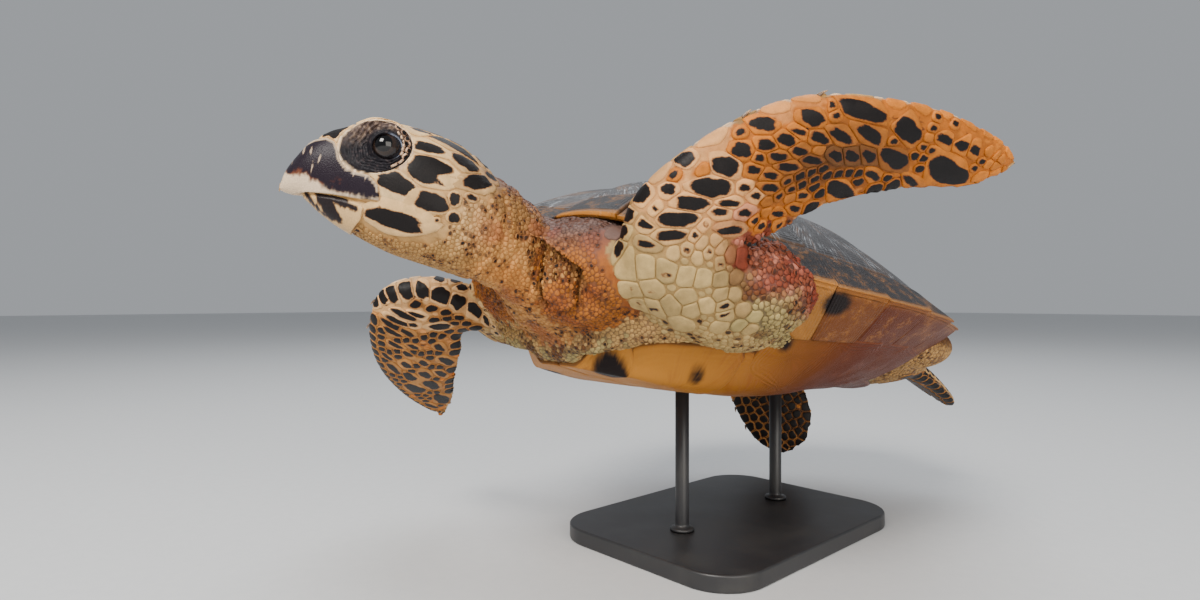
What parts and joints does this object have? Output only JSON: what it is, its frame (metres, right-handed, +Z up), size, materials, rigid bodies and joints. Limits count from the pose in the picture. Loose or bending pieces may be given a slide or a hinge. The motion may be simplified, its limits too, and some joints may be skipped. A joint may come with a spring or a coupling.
{
  "type": "hawksbill sea turtle display model",
  "caption": "Life-size still model of a young hawksbill sea turtle swimming, with patterned head, saw-edged shell and raised flipper, held by rods on a flat base.",
  "frame": {"origin": "middle of the stand base's underside, on the floor", "axes": "+Z up, -Y the way the turtle's shell points, +X its left side"},
  "size_m": [0.4867, 0.6616, 0.3346],
  "materials": {
    "skin": "wrinkled, pebbled skin, satin",
    "scaly_skin": "dark scales with cream borders, satin",
    "shell_horn": "streaked dark horn, worn gloss",
    "belly_horn": "amber horn with dark blotches, satin",
    "beak_horn": "dark horn with cream streaks, satin",
    "eye": "wet gloss",
    "claw_horn": "satin horn",
    "stand_metal": "satin black powder coat"
  },
  "bodies": {
    "root": {"nuchal_scute": "shell_horn", "vertebral_scute_1": "shell_horn", "vertebral_scute_2": "shell_horn", "vertebral_scute_3": "shell_horn", "vertebral_scute_4": "shell_horn", "vertebral_scute_5": "shell_horn", "costal_scute_left_1": "shell_horn", "costal_scute_left_2": "shell_horn", "costal_scute_left_3": "shell_horn", "costal_scute_left_4": "shell_horn", "costal_scute_right_1": "shell_horn", "costal_scute_right_2": "shell_horn", "costal_scute_right_3": "shell_horn", "costal_scute_right_4": "shell_horn", "marginals_left": "shell_horn", "marginals_right": "shell_horn", "plastron": "belly_horn", "bridge_left": "belly_horn", "bridge_right": "belly_horn", "head": "scaly_skin", "upper_beak": "beak_horn", "lower_jaw": "beak_horn", "eye_left": "eye", "eye_right": "eye", "neck": "skin", "trunk": "skin", "tail": "scaly_skin", "front_flipper_left_arm": "scaly_skin", "front_flipper_left_blade": "scaly_skin", "front_flipper_left_claw_1": "claw_horn", "front_flipper_left_claw_2": "claw_horn", "front_flipper_right_arm": "scaly_skin", "front_flipper_right_blade": "scaly_skin", "front_flipper_right_claw_1": "claw_horn", "front_flipper_right_claw_2": "claw_horn", "hind_flipper_left_thigh": "scaly_skin", "hind_flipper_left_foot": "scaly_skin", "hind_flipper_left_claw_1": "claw_horn", "hind_flipper_left_claw_2": "claw_horn", "hind_flipper_right_thigh": "scaly_skin", "hind_flipper_right_foot": "scaly_skin", "hind_flipper_right_claw_1": "claw_horn", "hind_flipper_right_claw_2": "claw_horn", "stand_rod_front": "stand_metal", "stand_rod_rear": "stand_metal", "stand_base": "stand_metal"}
  },
  "joints": []
}
